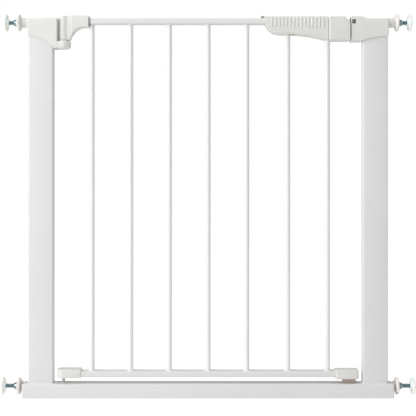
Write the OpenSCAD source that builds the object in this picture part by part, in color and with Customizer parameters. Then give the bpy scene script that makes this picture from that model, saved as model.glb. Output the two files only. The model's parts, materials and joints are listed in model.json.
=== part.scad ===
// Pressure-fit safety gate: a U-shaped steel frame that four hand-screwed wall pads
// wedge between two walls, with a barred gate panel that slides, lifts and swings open.
//
// X runs from the hinge side (-) to the latch side (+), Y runs from front to back and
// Z is up. The origin is on the floor, under the middle of the bottom rail.

/* [Frame] */
// Length of the bottom rail over its two end caps
rail_len = 712; // [700:1:760]
// Depth of the bottom rail, front to back
rail_depth = 30; // [26:1:36]
// Height of the bottom rail
rail_h = 27; // [26:0.5:29]
// Distance from the middle to a post's inner face
post_inner_x = 297; // [297:1:300]
// Width of a post, seen from the front
post_w = 48; // [46:1:49]
// Depth of a post, front to back
post_depth = 20; // [18:1:22]
// Height of the posts' tops above the floor
post_top_z = 724; // [722:1:724.5]
// Wall thickness of the steel tubes
tube_wall = 1.2; // [0.8:0.1:1.5]

/* [Gate panel] */
// Underside of the gate's top rail
top_rail_z = 717; // [716.5:0.5:717.5]
// Underside of the gate's bottom rail
low_rail_z = 39.5; // [39:0.5:40]
// Height of both gate rails
gate_rail_h = 11; // [10:0.5:11.5]
// Depth of both gate rails, front to back
gate_rail_depth = 20; // [18:1:20]
// Diameter of a bar
bar_d = 10; // [8:0.5:11]
// Distance between the first five bars
bar_pitch = 74.5; // [72:0.5:75]

/* [Hinge and latch] */
// X of the vertical hinge axis
hinge_x = -278; // [-279:0.5:-277]
// Radius of the upper hinge knuckle
knuckle_r = 9; // [8.5:0.25:9.5]
// Height of the knuckle's top above the floor
knuckle_top_z = 733; // [730:1:735]
// How far the panel lifts off its lower stop
lift_travel = 6; // [5:0.5:6]
// How far the grip slides back
grip_travel = 10; // [8:0.5:10]
// Half depth of the hinge and latch casings
casing_half = 13; // [12.5:0.5:13.5]

/* [Wall screws] */
// Height of the upper pair's axis
upper_axis_z = 720; // [719:0.5:720.5]
// Height of the lower pair's axis
lower_axis_z = 21; // [20:0.5:21]
// Diameter of a spindle
spindle_d = 8; // [6:1:8]
// Diameter of a hand wheel
wheel_d = 33; // [30:1:36]
// Diameter of a wall pad
pad_d = 33; // [28:1:38]
// Distance from the middle to an upper pad's wall face
upper_pad_x = 391; // [391:1:396]
// Distance from the middle to a lower pad's wall face
lower_pad_x = 397; // [397:1:400]

/* [Hidden] */
$fn = 64;
eps = 0.01;
run_gap = 0.05;      // radial clearance of a running fit
slide_gap = 0.4;     // clearance of a sliding moulding
post_mid_x = post_inner_x + post_w / 2;
post_outer_x = post_inner_x + post_w;
rail_end_x = rail_len / 2;
cap_t = 5;
top_rail_top = top_rail_z + gate_rail_h;
low_rail_top = low_rail_z + gate_rail_h;
bar_xs = [for (i = [-3:1]) i * bar_pitch, 153.5, 230];

// casings over the post tops
casing_outer_x = post_outer_x + 1.2;
casing_hinge_x = -289;       // the hinge casing's face beside the knuckle
casing_latch_x = 274.5;      // the latch casing's face beside the gate
cup_top_z = 684;
cup_h = 14;
cup_r = 13.5;
cup_arm_x = -297;
cup_arm_half = 9;
cup_low_z = cup_top_z - cup_h;
sleeve_r = 9.2;
guide_r = 5.5;
screw_r = 1.6;
screw_head_r = 3.4;
screw_head_h = 2;
left_screw_at = [[-332, 705], [-306, 711]];
right_screw_at = [[332, 705], [308, 703]];
housing_screw_at = [[255, 697], [255, 711]];
grip_screw_at = [[140, 708], [212, 703]];

// hinge
hinge_pin_r = 4;
bush_flange_h = 2;
bush_r = 6.5;
bush_z0 = cup_top_z + 0.3;
knuckle_z0 = bush_z0 + bush_flange_h + 0.3;
neck_half = 6.5;
bracket_half = 11.5;
bracket_neck_x = -261;       // where the bracket widens beside the knuckle
gate_rail_x0 = -258;         // hinge end of both gate rails
bracket_end_x = -229;
bracket_arc_r = 28.5;
bracket_arc_x = -236;
bracket_low_z = 711.5;
low_pin_r = 2.6;
block_r = 12;
block_x1 = -244;
block_z0 = 38;
block_z1 = 54;
low_pin_z0 = 9;

// latch
grip_x0 = 108;
grip_x1 = 230.5;
grip_top_z = 731;
grip_half = 14;
rib_pitch = 7;
rib_count = 15;
rib_x0 = 121;
rib_w = 3;
rib_out = 1;
housing_x0 = 231;
housing_x1 = 272.5;
housing_z0 = 685.5;
housing_z1 = 730.5;
housing_half = 15;
bolt_z0 = 718.5;
bolt_z1 = 723;
bolt_half = 6;
bolt_x0 = 184;
bolt_tip_x = 280;
bolt_tip = 2;
link_x = 196;
link_r = 2;
link_z0 = 704;
notch_x1 = 283.3;
notch_half = 7;
notch_low_z = 716.5;
notch_roof_z = 729.4;
window_low_z = 717;
window_top_z = 725.5;
strike_t = 2;
strike_half = 8;
strike_low_z = 712;
rail_open_x = 246;           // where the top rail ends inside the latch housing
low_rail_x1 = 255;           // where the lower rail ends inside the shoe
spring_x0 = 156;
spring_turns = 9;
shoe_x0 = 244.5;
shoe_x1 = 288.8;
shoe_z0 = 36;
shoe_z1 = 53;
pocket_x0 = 257;
pocket_x1 = 286.5;
pocket_half = 7;
pocket_z1 = 42.5;
stop_x0 = 259;
stop_x1 = 284;
stop_depth = 12;
stop_top_z = shoe_z0 + lift_travel - 1;

// wall screws
wheel_t = 5.5;
wheel_x = 361;               // inner face of a wheel's rim
hub_x = rail_end_x + 0.4;
hub_r = 9.5;
nut_r = 6;
cone_end_x = 374;
cone_r = 8;
pad_t = 5;
boss_r = 7;
boss_t = 3;
upper_spindle_x0 = 308;
lower_spindle_x0 = 300;

// ---- shared shapes ----

// A rounded rectangle round the origin
module round_rect(w, h, r) {
    square([w - 2 * r, h], center = true);
    square([w, h - 2 * r], center = true);
    for (sx = [-1, 1], sy = [-1, 1])
        translate([sx * (w / 2 - r), sy * (h / 2 - r)]) circle(r);
}

// A solid of the 2D shape below, along X from x0 to x1, its first axis along Y
module along_x(x0, x1) {
    translate([x0, 0, 0]) rotate([90, 0, 90]) linear_extrude(x1 - x0) children();
}

// A solid of the 2D front outline below, from y0 at the front to y1 at the back
module along_y(y0, y1) {
    translate([0, y1, 0]) rotate([90, 0, 0]) linear_extrude(y1 - y0) children();
}

// A box given by its lowest and highest corners
module block(low, high) {
    translate(low) cube(high - low);
}

// A cylinder along X
module rod_x(x0, x1, z, r) {
    translate([x0, 0, z]) rotate([0, 90, 0]) cylinder(h = x1 - x0, r = r);
}

// A cylinder along Y
module rod_y(y0, y1, x, z, r) {
    translate([x, y0, z]) rotate([-90, 0, 0]) cylinder(h = y1 - y0, r = r);
}

// Places the latch side's shape on the hinge side when side is -1
module on_side(side) {
    if (side < 0) mirror([1, 0, 0]) children();
    else children();
}

// ---- U-shaped frame ----

module bottom_rail() {
    color("#dedede") difference() {
        translate([0, 0, rail_h / 2])
            along_x(cap_t - rail_end_x, rail_end_x - cap_t)
                round_rect(rail_depth, rail_h, 2.5);
        translate([0, 0, rail_h / 2])
            along_x(-rail_end_x, rail_end_x)
                round_rect(rail_depth - 2 * tube_wall, rail_h - 2 * tube_wall, 1.3);
        translate([hinge_x, 0, rail_h - 5]) cylinder(h = 10, r = 5);
    }
}

module post(side) {
    color("#dfe0e0") on_side(side) difference() {
        translate([post_mid_x, 0, rail_h])
            linear_extrude(post_top_z - rail_h) round_rect(post_w, post_depth, 3);
        translate([post_mid_x, 0, rail_h - 1])
            linear_extrude(post_top_z - rail_h + 2)
                round_rect(post_w - 2 * tube_wall, post_depth - 2 * tube_wall, 1.8);
        rod_x(post_outer_x - 5, post_outer_x + 5, upper_axis_z, guide_r);
        for (at = side < 0 ? left_screw_at : right_screw_at)
            rod_y(5, 15, abs(at[0]), at[1], screw_r);
    }
}

module rail_end_cap(side) {
    plug_depth = rail_depth - 2 * tube_wall;
    plug_h = rail_h - 2 * tube_wall;
    color("#e8e8e4") on_side(side) difference() {
        union() {
            translate([0, 0, rail_h / 2])
                along_x(rail_end_x - cap_t, rail_end_x) round_rect(rail_depth, rail_h, 2.5);
            translate([0, 0, rail_h / 2])
                along_x(rail_end_x - 30, rail_end_x - cap_t + eps)
                    round_rect(plug_depth, plug_h, 1.3);
        }
        rod_x(rail_end_x - 40, rail_end_x + 10, lower_axis_z, spindle_d / 2 + run_gap);
    }
}

module upper_sleeve(side) {
    color("#f2f2f0") on_side(side) difference() {
        union() {
            rod_x(casing_outer_x, rail_end_x + 3, upper_axis_z, sleeve_r);
            rod_x(post_outer_x - 24, casing_outer_x + eps, upper_axis_z, guide_r - 0.05);
        }
        rod_x(post_outer_x - 30, rail_end_x + 10, upper_axis_z, spindle_d / 2 + run_gap);
    }
}

// ---- hinge side casing ----

module hinge_casing_outline() {
    arc_r = 66.4;
    arc_z = 628.4;
    difference() {
        polygon([
            [-casing_outer_x, cup_low_z], [-casing_outer_x, 727],
            [casing_hinge_x, 729], [casing_hinge_x, cup_low_z]
        ]);
        translate([-casing_outer_x, arc_z]) circle(arc_r, $fn = 128);
    }
}

// The space that the post, the cup's arm and the wall screw take out of a casing
module post_space(side) {
    on_side(side) {
        translate([post_mid_x, 0, 600])
            linear_extrude(post_top_z - 600) round_rect(post_w, post_depth, 3);
        rod_x(post_outer_x - 26, casing_outer_x + 1, upper_axis_z, guide_r);
    }
}

module casing_screw_holes(places) {
    for (at = places) {
        rod_y(8, 20, at[0], at[1], screw_r + 0.1);
        rod_y(casing_half - screw_head_h, 20, at[0], at[1], screw_head_r + 0.1);
    }
}

module hinge_casing(y0, y1) {
    color("#e6e8e2") difference() {
        along_y(y0, y1) hinge_casing_outline();
        post_space(-1);
        block([cup_arm_x, -cup_arm_half, 600], [-280, cup_arm_half, cup_top_z - 0.5]);
        translate([hinge_x, 0, 600]) cylinder(h = cup_top_z - 600, r = cup_r);
        casing_screw_holes(left_screw_at);
    }
}

module hinge_casing_front() { hinge_casing(-casing_half, 0); }
module hinge_casing_rear() { hinge_casing(0, casing_half); }

module hinge_cup() {
    color("#e9eae4") difference() {
        union() {
            translate([hinge_x, 0, cup_low_z]) cylinder(h = cup_h, r = cup_r);
            block([cup_arm_x + 0.1, -cup_arm_half, cup_low_z],
                  [hinge_x, cup_arm_half, cup_top_z - 0.5]);
        }
        translate([hinge_x, 0, cup_low_z + 2]) cylinder(h = 40, r = hinge_pin_r);
    }
}

module upper_hinge_pin() {
    color("#b8bcc0")
        translate([hinge_x, 0, cup_low_z + 2])
            cylinder(h = post_top_z - cup_low_z - 4, r = hinge_pin_r);
}

// ---- latch side casing ----

module latch_casing_outline() {
    arc_r = 141.6;
    arc_z = 552.2;
    difference() {
        polygon([
            [casing_latch_x, cup_top_z], [casing_latch_x, 731.5], [293.5, 731.5],
            [303, 727.5], [casing_outer_x, 727], [casing_outer_x, cup_top_z]
        ]);
        translate([casing_outer_x, arc_z]) circle(arc_r, $fn = 256);
    }
}

module latch_casing(y0, y1) {
    wall_x = casing_latch_x + 1.2;
    color("#e2e4df") difference() {
        along_y(y0, y1) latch_casing_outline();
        post_space(1);
        block([wall_x, -notch_half, notch_low_z], [notch_x1, notch_half, notch_roof_z]);
        block([casing_latch_x - 1, -bolt_half - 0.5, notch_low_z],
              [wall_x + 1, bolt_half + 0.5, notch_roof_z]);
        block([wall_x, -casing_half - 1, window_low_z], [notch_x1, 0, window_top_z]);
        block([notch_x1 - eps, -strike_half, strike_low_z],
              [notch_x1 + strike_t, strike_half, notch_roof_z]);
        casing_screw_holes(right_screw_at);
    }
}

module latch_casing_front() { latch_casing(-casing_half, 0); }
module latch_casing_rear() { latch_casing(0, casing_half); }

module strike_plate() {
    color("#c8cbcc")
        block([notch_x1, -strike_half, strike_low_z],
              [notch_x1 + strike_t, strike_half, notch_roof_z]);
}

module casing_screw(at) {
    color("#b4b7ba") {
        rod_y(casing_half - screw_head_h, casing_half - 0.2, at[0], at[1], screw_head_r);
        rod_y(6, casing_half - screw_head_h + eps, at[0], at[1], screw_r);
    }
}

module casing_screws() {
    for (at = concat(left_screw_at, right_screw_at)) casing_screw(at);
}

module lower_pin_bush() {
    color("#d8d8d4") difference() {
        union() {
            translate([hinge_x, 0, 6]) cylinder(h = rail_h - 6 + eps, r = 5);
            translate([hinge_x, 0, rail_h]) cylinder(h = 1.2, r = 7);
        }
        translate([hinge_x, 0, 0]) cylinder(h = 40, r = low_pin_r + run_gap);
    }
}

module bottom_stop() {
    color("#a89a8c")
        translate([(stop_x0 + stop_x1) / 2, 0, rail_h])
            linear_extrude(stop_top_z - rail_h) round_rect(stop_x1 - stop_x0, stop_depth, 2);
}

// ---- swinging bush, between the pin and the lifting knuckle ----

module upper_hinge_bush() {
    color("#cfcfca") difference() {
        union() {
            translate([hinge_x, 0, bush_z0]) cylinder(h = bush_flange_h, r = knuckle_r);
            translate([hinge_x, 0, bush_z0]) cylinder(h = post_top_z - bush_z0, r = bush_r);
        }
        translate([hinge_x, 0, bush_z0 - 1])
            cylinder(h = post_top_z - bush_z0 + 2, r = hinge_pin_r + run_gap);
    }
}

// ---- gate panel ----

module gate_rail(x0, x1, z) {
    inner_depth = gate_rail_depth - 2 * tube_wall;
    inner_h = gate_rail_h - 2 * tube_wall;
    translate([0, 0, z + gate_rail_h / 2]) difference() {
        along_x(x0, x1) round_rect(gate_rail_depth, gate_rail_h, 2);
        along_x(x0 - 1, x1 + 1) round_rect(inner_depth, inner_h, 0.8);
    }
}

module gate_top_rail() {
    slot_half = link_r + slide_gap;
    color("#dddedd") difference() {
        gate_rail(gate_rail_x0, rail_open_x, top_rail_z);
        block([link_x - grip_travel - slot_half, -slot_half, top_rail_z - 1],
              [link_x + slot_half, slot_half, top_rail_z + 3]);
    }
}

module gate_bottom_rail() {
    color("#dddedd") gate_rail(gate_rail_x0, low_rail_x1, low_rail_z);
}

module bar(x) {
    color("#e4e4e4") translate([x, 0, low_rail_top]) difference() {
        cylinder(h = top_rail_z - low_rail_top, d = bar_d);
        translate([0, 0, -1])
            cylinder(h = top_rail_z - low_rail_top + 2, d = bar_d - 2 * tube_wall);
    }
}

module bracket_outline() {
    difference() {
        polygon([
            [hinge_x, knuckle_z0], [hinge_x, knuckle_top_z],
            [bracket_end_x, knuckle_top_z], [bracket_end_x, bracket_low_z],
            [bracket_arc_x, bracket_low_z], [bracket_arc_x, knuckle_z0]
        ]);
        translate([bracket_arc_x, bracket_low_z - bracket_arc_r])
            circle(bracket_arc_r, $fn = 96);
    }
}

module upper_hinge_bracket() {
    socket_gap = 0.7;
    color("#e4e5e0") difference() {
        union() {
            translate([hinge_x, 0, knuckle_z0])
                cylinder(h = knuckle_top_z - knuckle_z0, r = knuckle_r);
            intersection() {
                along_y(-bracket_half, bracket_half) bracket_outline();
                union() {
                    block([hinge_x, -neck_half, 680], [bracket_neck_x, neck_half, 740]);
                    block([bracket_neck_x - 1, -bracket_half, 680],
                          [bracket_end_x + 1, bracket_half, 740]);
                }
            }
        }
        translate([hinge_x, 0, 680]) cylinder(h = post_top_z + 8 - 680, r = bush_r + run_gap);
        translate([0, 0, top_rail_z + gate_rail_h / 2])
            along_x(gate_rail_x0, bracket_end_x + 1) round_rect(gate_rail_depth, gate_rail_h, 2);
        translate([0, 0, top_rail_z + gate_rail_h / 2])
            along_x(bracket_end_x - 3, bracket_end_x + 1)
                round_rect(gate_rail_depth + 2 * socket_gap, gate_rail_h + 2 * socket_gap, 2);
    }
}

module low_rail_socket(x0, x1) {
    translate([0, 0, low_rail_z + gate_rail_h / 2])
        along_x(x0, x1) round_rect(gate_rail_depth, gate_rail_h, 2);
}

module lower_hinge_block() {
    color("#e2e2de") difference() {
        union() {
            translate([hinge_x, 0, block_z0])
                cylinder(h = block_z1 - block_z0, r = block_r);
            block([hinge_x, -block_r, block_z0], [block_x1, block_r, block_z1]);
        }
        low_rail_socket(gate_rail_x0, block_x1 + 1);
        translate([hinge_x, 0, block_z0 - 1]) cylinder(h = 13, r = low_pin_r);
    }
}

module lower_hinge_pin() {
    color("#c2c5c6") translate([hinge_x, 0, low_pin_z0])
        cylinder(h = block_z0 - low_pin_z0 + 12, r = low_pin_r);
}

module latch_shoe() {
    mid = (shoe_x0 + shoe_x1) / 2;
    color("#e2e2de") difference() {
        translate([mid, 0, shoe_z0])
            linear_extrude(shoe_z1 - shoe_z0) round_rect(shoe_x1 - shoe_x0, 2 * block_r, 4);
        low_rail_socket(shoe_x0 - 1, low_rail_x1);
        block([pocket_x0, -pocket_half, shoe_z0 - 1], [pocket_x1, pocket_half, pocket_z1]);
    }
}

// ---- latch housing, fixed on the end of the top rail ----

module housing_outline() {
    polygon([
        [housing_x0, housing_z0], [housing_x0, housing_z1], [262, housing_z1],
        [housing_x1, 720], [housing_x1, housing_z0]
    ]);
}

// The bolt's passage, with the sliding clearance all round it
module bolt_space(x0, x1) {
    block([x0, -bolt_half - slide_gap, bolt_z0 - slide_gap],
          [x1, bolt_half + slide_gap, bolt_z1 + slide_gap]);
}

module latch_housing(y0, y1) {
    color("#e2e2de") difference() {
        along_y(y0, y1) housing_outline();
        translate([0, 0, top_rail_z + gate_rail_h / 2])
            along_x(housing_x0 - 1, rail_open_x)
                round_rect(gate_rail_depth, gate_rail_h, 2);
        translate([bar_xs[6], 0, 600]) cylinder(h = top_rail_z - 600, d = bar_d);
        bolt_space(housing_x0, housing_x1 + 1);
        for (at = housing_screw_at) {
            rod_y(-7, 20, at[0], at[1], screw_r + 0.1);
            rod_y(housing_half - screw_head_h, 20, at[0], at[1], screw_head_r + 0.1);
        }
    }
}

module latch_housing_front() { latch_housing(-housing_half, 0); }
module latch_housing_rear() { latch_housing(0, housing_half); }

module long_screw(at, back_y) {
    rod_y(back_y - screw_head_h, back_y - 0.2, at[0], at[1], screw_head_r);
    rod_y(-6, back_y - screw_head_h + eps, at[0], at[1], screw_r);
}

module housing_screws() {
    color("#b4b7ba") for (at = housing_screw_at) long_screw(at, housing_half);
}

module spring_seat() {
    color("#d0d0cc")
        translate([0, 0, top_rail_z + gate_rail_h / 2])
            along_x(spring_x0 - 4, spring_x0)
                round_rect(gate_rail_depth - 2 * tube_wall, gate_rail_h - 2 * tube_wall, 0.8);
}

// A coil of round wire along X, swept as rings of six points
module coil(x0, x1, turns, coil_r, wire_r) {
    steps = 14 * turns;
    sides = 6;
    points = [
        for (i = [0:steps], j = [0:sides - 1])
            let (turn = 360 * turns * i / steps, a = 360 * j / sides,
                 r = coil_r + wire_r * cos(a))
            [x0 + (x1 - x0) * i / steps + wire_r * sin(a), r * cos(turn), r * sin(turn)]
    ];
    walls = [
        for (i = [0:steps - 1], j = [0:sides - 1])
            let (a = i * sides + j, b = i * sides + (j + 1) % sides)
            [a, b, b + sides, a + sides]
    ];
    first = [for (j = [sides - 1:-1:0]) j];
    last = [for (j = [0:sides - 1]) steps * sides + j];
    polyhedron(points, concat(walls, [first, last]), convexity = 8);
}

module latch_spring() {
    wire_r = 0.5;
    color("#9fa3a6")
        translate([0, 0, top_rail_z + gate_rail_h / 2])
            coil(spring_x0 + wire_r + 0.1, bolt_x0 - wire_r - 0.3, spring_turns, 2.6, wire_r);
}

// ---- grip, sliding on the top rail ----

module grip_outline() {
    tip = [for (a = [180:7.5:270]) [138 + 30 * cos(a), 728 + 30.5 * sin(a)]];
    belly = [for (i = [1:10]) let (t = i / 10) [150 + 80.5 * t, 697.5 - 11.5 * t * t]];
    polygon(concat([[grip_x0, grip_top_z]], tip, belly, [[grip_x1, grip_top_z]]));
}

module grip_ribs(front_y) {
    for (i = [0:rib_count - 1])
        block([rib_x0 + i * rib_pitch, front_y - rib_out, 711 - 0.2 * i],
              [rib_x0 + i * rib_pitch + rib_w, front_y + eps, 728.5]);
}

module grip_space() {
    slot_w = bar_d + 2 * slide_gap;
    translate([0, 0, top_rail_z + gate_rail_h / 2])
        along_x(grip_x0 - 1, grip_x1 + 1)
            round_rect(gate_rail_depth + 2 * slide_gap, gate_rail_h + 2 * slide_gap, 2);
    for (x = [bar_xs[5], bar_xs[6]])
        translate([x, 0, 600]) {
            cylinder(h = top_rail_z - 600, d = slot_w);
            block([0, -slot_w / 2, 0], [grip_travel, slot_w / 2, top_rail_z - 600]);
            translate([grip_travel, 0, 0]) cylinder(h = top_rail_z - 600, d = slot_w);
        }
    translate([link_x, 0, link_z0]) cylinder(h = 20, r = link_r);
    for (at = grip_screw_at) {
        rod_y(-7, 20, at[0], at[1], screw_r + 0.1);
        rod_y(grip_half - screw_head_h, 20, at[0], at[1], screw_head_r + 0.1);
    }
}

module grip_front() {
    color("#e2e2dd") difference() {
        union() {
            along_y(-grip_half, 0) grip_outline();
            grip_ribs(-grip_half);
        }
        grip_space();
    }
}

module grip_rear() {
    color("#e2e2dd") difference() {
        union() {
            along_y(0, grip_half) grip_outline();
            mirror([0, 1, 0]) grip_ribs(-grip_half);
        }
        grip_space();
    }
}

module grip_screws() {
    color("#b4b7ba") for (at = grip_screw_at) long_screw(at, grip_half);
}

module grip_end_tab() {
    color("#7d7f80") block([102, -4, top_rail_top + slide_gap], [grip_x0, 4, 733]);
}

module latch_bolt() {
    color("#c4c8ca") difference() {
        union() {
            block([bolt_x0, -bolt_half, bolt_z0], [bolt_tip_x - bolt_tip, bolt_half, bolt_z1]);
            block([bolt_tip_x - bolt_tip - eps, 1 - bolt_half, bolt_z0],
                  [bolt_tip_x, bolt_half - 1, bolt_z1]);
        }
        translate([link_x, 0, bolt_z0 - 1]) cylinder(h = 4, r = link_r);
    }
}

module bolt_link_pin() {
    color("#b0b4b6") translate([link_x, 0, link_z0]) cylinder(h = 17.5, r = link_r);
}

// ---- wall screws ----

module hand_wheel(side, z) {
    color("#f4f4f2") on_side(side) difference() {
        union() {
            rod_x(wheel_x, wheel_x + wheel_t, z, wheel_d / 2);
            rod_x((z > 100 ? 3 : 0) + hub_x, wheel_x + eps, z, hub_r);
        }
        rod_x(hub_x - 1, wheel_x + wheel_t + 1, z, nut_r);
    }
}

module cone_nut(side, z) {
    color("#3f5658") on_side(side) difference() {
        union() {
            rod_x(hub_x + 3.2, wheel_x + wheel_t, z, nut_r);
            translate([wheel_x + wheel_t, 0, z]) rotate([0, 90, 0])
                cylinder(h = cone_end_x - wheel_x - wheel_t, r1 = cone_r, r2 = 5);
        }
        rod_x(hub_x, cone_end_x + 1, z, spindle_d / 2 + run_gap);
    }
}

module spindle(side, z, pad_x, inner_x) {
    color("#4a6164") on_side(side)
        rod_x(inner_x, pad_x - pad_t + 1.5, z, spindle_d / 2);
}

module wall_pad(side, z, pad_x) {
    color("#e4ebe6") on_side(side) difference() {
        union() {
            rod_x(pad_x - pad_t, pad_x, z, pad_d / 2);
            rod_x(pad_x - pad_t - boss_t, pad_x - pad_t + eps, z, boss_r);
        }
        rod_x(pad_x - pad_t - boss_t - 1, pad_x - pad_t + 1.5, z, spindle_d / 2);
    }
}

bottom_rail();
post(-1);  // left_post
post(1);  // right_post
rail_end_cap(-1);  // rail_end_cap_left
rail_end_cap(1);  // rail_end_cap_right
hinge_casing_front();
hinge_casing_rear();
hinge_cup();
upper_hinge_pin();
latch_casing_front();
latch_casing_rear();
strike_plate();
upper_sleeve(-1);  // upper_sleeve_left
upper_sleeve(1);  // upper_sleeve_right
casing_screws();
lower_pin_bush();
bottom_stop();
upper_hinge_bush();
gate_top_rail();
gate_bottom_rail();
for (i = [1:len(bar_xs)])
    bar(bar_xs[i - 1]);
upper_hinge_bracket();
lower_hinge_block();
lower_hinge_pin();
latch_shoe();
latch_housing_front();
latch_housing_rear();
housing_screws();
spring_seat();
latch_spring();
grip_front();
grip_rear();
grip_screws();
grip_end_tab();
latch_bolt();
bolt_link_pin();
for (s = [-1, 1]) {
    hand = s < 0 ? "left" : "right";
    up = str("upper_", hand);
    low = str("lower_", hand);
    hand_wheel(s, upper_axis_z);
    hand_wheel(s, lower_axis_z);
    cone_nut(s, upper_axis_z);
    cone_nut(s, lower_axis_z);
    spindle(s, upper_axis_z, upper_pad_x, upper_spindle_x0);
    spindle(s, lower_axis_z, lower_pad_x, lower_spindle_x0);
    wall_pad(s, upper_axis_z, upper_pad_x);
    wall_pad(s, lower_axis_z, lower_pad_x);
}
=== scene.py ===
import json
import math

import bmesh
import bpy
from mathutils import Matrix, Vector


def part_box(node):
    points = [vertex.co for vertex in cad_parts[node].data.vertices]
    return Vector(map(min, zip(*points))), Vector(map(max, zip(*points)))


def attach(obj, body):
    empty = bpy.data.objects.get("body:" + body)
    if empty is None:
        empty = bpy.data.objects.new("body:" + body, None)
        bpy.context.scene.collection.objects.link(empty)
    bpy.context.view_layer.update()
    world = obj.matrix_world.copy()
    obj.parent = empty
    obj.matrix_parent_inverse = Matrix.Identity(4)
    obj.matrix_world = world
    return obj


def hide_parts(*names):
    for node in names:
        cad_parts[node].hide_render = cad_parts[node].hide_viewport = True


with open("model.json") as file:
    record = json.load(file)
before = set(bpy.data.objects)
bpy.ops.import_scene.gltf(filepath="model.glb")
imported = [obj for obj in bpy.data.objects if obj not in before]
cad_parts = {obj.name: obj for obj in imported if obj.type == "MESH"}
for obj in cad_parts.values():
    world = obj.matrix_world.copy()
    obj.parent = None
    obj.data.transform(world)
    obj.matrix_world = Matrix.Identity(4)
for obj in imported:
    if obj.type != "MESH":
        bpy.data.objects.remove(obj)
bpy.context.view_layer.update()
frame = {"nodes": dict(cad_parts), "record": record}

MM = 0.001
TAU = 2 * math.pi


# ---------------------------------------------------------------- colours and nodes

def linear(hex_colour):
    """An sRGB hex colour as the linear RGBA that a shader socket takes."""
    channels = [int(hex_colour[i:i + 2], 16) / 255 for i in (1, 3, 5)]
    rgb = [c / 12.92 if c <= 0.04045 else ((c + 0.055) / 1.055) ** 2.4 for c in channels]
    return (*rgb, 1.0)


def add_node(tree, kind, settings=None, links=None):
    """Adds one node. settings sets properties or inputs by name, links joins inputs to outputs."""
    node = tree.nodes.new(kind)
    for key, value in (settings or {}).items():
        if isinstance(key, str) and hasattr(node, key):
            setattr(node, key, value)
        else:
            node.inputs[key].default_value = value
    for key, socket in (links or {}).items():
        tree.links.new(socket, node.inputs[key])
    return node


def new_material(name):
    """An empty node material and its tree."""
    material = bpy.data.materials.new(name)
    material.use_nodes = True
    material.node_tree.nodes.clear()
    return material, material.node_tree


def grained(name, light, dark, patch_mm, grain_mm, depth_mm, rough, spread, shader):
    """A solid surface whose tone drifts between two colours over patch_mm, with a fine grain
    of grain_mm that lifts the surface by depth_mm and varies the roughness by spread."""
    material, tree = new_material(name)
    where = add_node(tree, "ShaderNodeTexCoord").outputs["Object"]
    drift = add_node(tree, "ShaderNodeTexNoise",
                     {"Scale": 1 / (patch_mm * MM), "Detail": 3.0, "Roughness": 0.55},
                     {"Vector": where})
    tone = add_node(tree, "ShaderNodeMix",
                    {"data_type": "RGBA", 6: linear(light), 7: linear(dark)},
                    {0: drift.outputs["Fac"]})
    grain = add_node(tree, "ShaderNodeTexNoise",
                     {"Scale": 1 / (grain_mm * MM), "Detail": 4.0, "Roughness": 0.6},
                     {"Vector": where})
    sheen = add_node(tree, "ShaderNodeMapRange",
                     {"To Min": rough - spread, "To Max": rough + spread},
                     {"Value": grain.outputs["Fac"]})
    relief = add_node(tree, "ShaderNodeBump",
                      {"Strength": 1.0, "Distance": depth_mm * MM},
                      {"Height": grain.outputs["Fac"]})
    surface = add_node(tree, "ShaderNodeBsdfPrincipled", shader,
                       {"Base Color": tone.outputs[2],
                        "Roughness": sheen.outputs["Result"],
                        "Normal": relief.outputs["Normal"]})
    add_node(tree, "ShaderNodeOutputMaterial", None, {"Surface": surface.outputs["BSDF"]})
    return material


# ---------------------------------------------------------------- materials

def powder_coated_steel():
    """White polyester powder coat on steel tube: satin, with a faint orange peel that
    breaks up long reflections."""
    return grained("powder_coated_steel", "#e2e3e2", "#dcdddc", 90, 2.2, 0.035, 0.5, 0.05,
                   {"IOR": 1.45, "Coat Weight": 0.05, "Coat Roughness": 0.35})


def powder_coated_bar():
    """The same powder coat on the round bars, a little glossier where the film is thin, and toned
    lighter as a painted highlight for the light the round bars catch.
    """
    return grained("powder_coated_bar", "#f0f0f0", "#ebebeb", 120, 1.8, 0.02, 0.32, 0.05,
                   {"IOR": 1.45, "Coat Weight": 0.1, "Coat Roughness": 0.3})


def powder_coated_rail():
    """The same powder coat on the flat rails, at the frame's tone without the bars' painted
    highlight, and duller.
    """
    return grained("powder_coated_rail", "#e4e4e2", "#dededc", 100, 2.0, 0.03, 0.45, 0.05,
                   {"IOR": 1.45, "Coat Weight": 0.05, "Coat Roughness": 0.35})


def moulded_abs():
    """Warm white ABS from a spark-eroded mould: a fine even grain that kills sharp glints."""
    return grained("moulded_abs", "#e3e4df", "#dcddd8", 40, 0.7, 0.03, 0.45, 0.07,
                   {"IOR": 1.54, "Subsurface Weight": 0.04, "Subsurface Scale": 0.002})


def moulded_grip_abs():
    """The grip's ABS, a shade greyer and smoother from handling."""
    return grained("moulded_grip_abs", "#e4e4df", "#dcdcd7", 35, 0.8, 0.025, 0.4, 0.06,
                   {"IOR": 1.54, "Subsurface Weight": 0.04, "Subsurface Scale": 0.002})


def moulded_polypropylene():
    """Bright white polypropylene of the hand wheels: waxy, and light glows a little through."""
    return grained("moulded_polypropylene", "#efefeb", "#e7e7e3", 25, 0.6, 0.015, 0.34, 0.05,
                   {"IOR": 1.49, "Subsurface Weight": 0.3, "Subsurface Scale": 0.004})


def moulded_cap_polypropylene():
    """Polypropylene of the rail's end caps, toned to the coat of the rail they close."""
    return grained("moulded_cap_polypropylene", "#e3e3df", "#dcdcd8", 25, 0.6, 0.015, 0.4, 0.05,
                   {"IOR": 1.49, "Subsurface Weight": 0.05, "Subsurface Scale": 0.002})


def soft_elastomer():
    """Cast thermoplastic elastomer of the wall pads: milky, faintly green and lit through, with a
    faint painted glow from its emission that brightens the pads.
    """
    return grained("soft_elastomer", "#f0f5f1", "#e6efe8", 12, 0.5, 0.02, 0.42, 0.06,
                   {"IOR": 1.45, "Subsurface Weight": 0.5, "Subsurface Scale": 0.006,
                    # the emission is a painted glow
                    "Emission Color": linear("#f4f9f5"), "Emission Strength": 0.06})


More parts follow.
